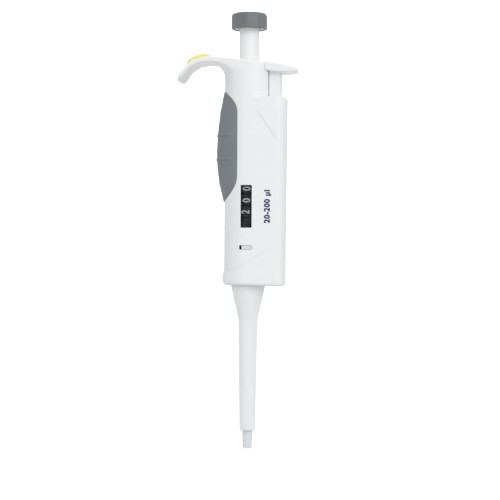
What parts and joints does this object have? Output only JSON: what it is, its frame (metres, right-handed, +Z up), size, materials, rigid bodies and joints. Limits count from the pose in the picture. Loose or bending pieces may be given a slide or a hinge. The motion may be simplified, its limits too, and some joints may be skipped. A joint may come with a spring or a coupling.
{
  "type": "adjustable-volume air-displacement pipette",
  "caption": "Hand-held single-channel pipette with a push-button plunger, volume counter window, finger hook, palm grip and tip ejector.",
  "frame": {"origin": "on the plunger's axis, at the handle's underside, where a stand's cradle takes the nose", "axes": "+Z up the plunger's axis, +X to the front where the tip ejector is, -Y to the side with the volume window"},
  "size_m": [0.0641, 0.0258, 0.2301],
  "materials": {
    "white_plastic": "satin",
    "natural_plastic": "satin",
    "grey_plastic": "satin",
    "grey_soft_plastic": "matte",
    "light_grey_plastic": "satin",
    "yellow_plastic": "gloss",
    "black_plastic": "satin",
    "clear_plastic": "clear",
    "stainless_steel": "satin",
    "brass": "satin",
    "black_rubber": "matte"
  },
  "bodies": {
    "handle": {"housing_left": "white_plastic", "housing_right": "white_plastic", "grip_pad": "grey_soft_plastic", "colour_cap": "yellow_plastic", "window_lens": "clear_plastic", "upper_bearing": "natural_plastic", "lower_bearing": "natural_plastic", "main_spring": "stainless_steel", "blank_drum": "black_plastic", "counter_axle": "grey_plastic", "counter_retainer": "grey_plastic", "guide_plate": "grey_plastic", "pinion_shaft": "stainless_steel", "pinion_bracket": "grey_plastic", "ejector_spring": "stainless_steel", "rod_guide": "grey_plastic", "lower_frame": "grey_plastic", "tip_cone": "natural_plastic", "seal_o_ring": "black_rubber", "piston_seal": "natural_plastic", "seal_retainer": "stainless_steel", "blowout_spring": "stainless_steel", "blowout_washer": "stainless_steel"},
    "plunger": {"button_cap": "grey_plastic", "button_insert": "white_plastic", "plunger_stem": "white_plastic", "drive_collar": "grey_plastic", "drive_nut": "brass"},
    "dial": {"drive_sleeve": "grey_plastic", "units_drum": "black_plastic"},
    "tens_wheel": {"tens_drum": "black_plastic"},
    "hundreds_wheel": {"hundreds_drum": "black_plastic"},
    "tens_transfer": {"tens_pinion": "natural_plastic"},
    "hundreds_transfer": {"hundreds_pinion": "natural_plastic"},
    "washer": {"thrust_washer": "stainless_steel"},
    "piston_train": {"volume_screw": "brass", "pusher_rod": "grey_plastic", "piston_head": "stainless_steel", "piston": "stainless_steel"},
    "ejector": {"ejector_lever": "white_plastic", "ejector_rod": "stainless_steel", "rod_clip": "stainless_steel", "ejector_foot": "stainless_steel", "ejector_sleeve": "white_plastic"},
    "slider": {"lock_slider": "light_grey_plastic"}
  },
  "joints": [
    {"name": "volume_dial", "type": "hinge", "parent": "handle", "child": "dial", "pos_m": [0, 0, 0.045], "axis": [0, 0, 1], "range_deg": [-6480, 0]},
    {"name": "plunger_press", "type": "slide", "parent": "dial", "child": "plunger", "axis": [0, 0, -1], "range_m": [0, 0.0155], "stiffness_N_per_m": 150, "springref_m": -0.01},
    {"name": "tens_turn", "type": "hinge", "parent": "handle", "child": "tens_wheel", "pos_m": [0, 0, 0.045], "axis": [0, 0, 1], "range_deg": [-648, 0]},
    {"name": "hundreds_turn", "type": "hinge", "parent": "handle", "child": "hundreds_wheel", "pos_m": [0, 0, 0.045], "axis": [0, 0, 1], "range_deg": [-64.8, 0]},
    {"name": "tens_pinion_turn", "type": "hinge", "parent": "handle", "child": "tens_transfer", "pos_m": [0.0114, 0.0076, 0.045], "axis": [0, 0, 1], "range_deg": [0, 1620]},
    {"name": "hundreds_pinion_turn", "type": "hinge", "parent": "handle", "child": "hundreds_transfer", "pos_m": [0.0114, 0.0076, 0.045], "axis": [0, 0, 1], "range_deg": [0, 162]},
    {"name": "washer_follow", "type": "slide", "parent": "handle", "child": "washer", "axis": [0, 0, -1], "range_m": [0, 0.0155], "deforming": ["main_spring"]},
    {"name": "screw_feed", "type": "slide", "parent": "washer", "child": "piston_train", "axis": [0, 0, -1], "range_m": [0, 0.01132]},
    {"name": "tip_eject", "type": "slide", "parent": "handle", "child": "ejector", "axis": [0, 0, -1], "range_m": [0, 0.009], "stiffness_N_per_m": 200, "springref_m": -0.008, "deforming": ["ejector_spring"]},
    {"name": "slider_move", "type": "slide", "parent": "handle", "child": "slider", "axis": [-1, 0, 0], "range_m": [0, 0.0009]}
  ],
  "couplings": [
    {"joint": "washer_follow", "follows": "plunger_press", "ratio": 1},
    {"joint": "screw_feed", "follows": "volume_dial", "m_per_rad": -0.00010007},
    {"joint": "tens_turn", "follows": "volume_dial", "ratio": 0.1},
    {"joint": "hundreds_turn", "follows": "volume_dial", "ratio": 0.01},
    {"joint": "tens_pinion_turn", "follows": "volume_dial", "ratio": -0.25},
    {"joint": "hundreds_pinion_turn", "follows": "volume_dial", "ratio": -0.025}
  ]
}
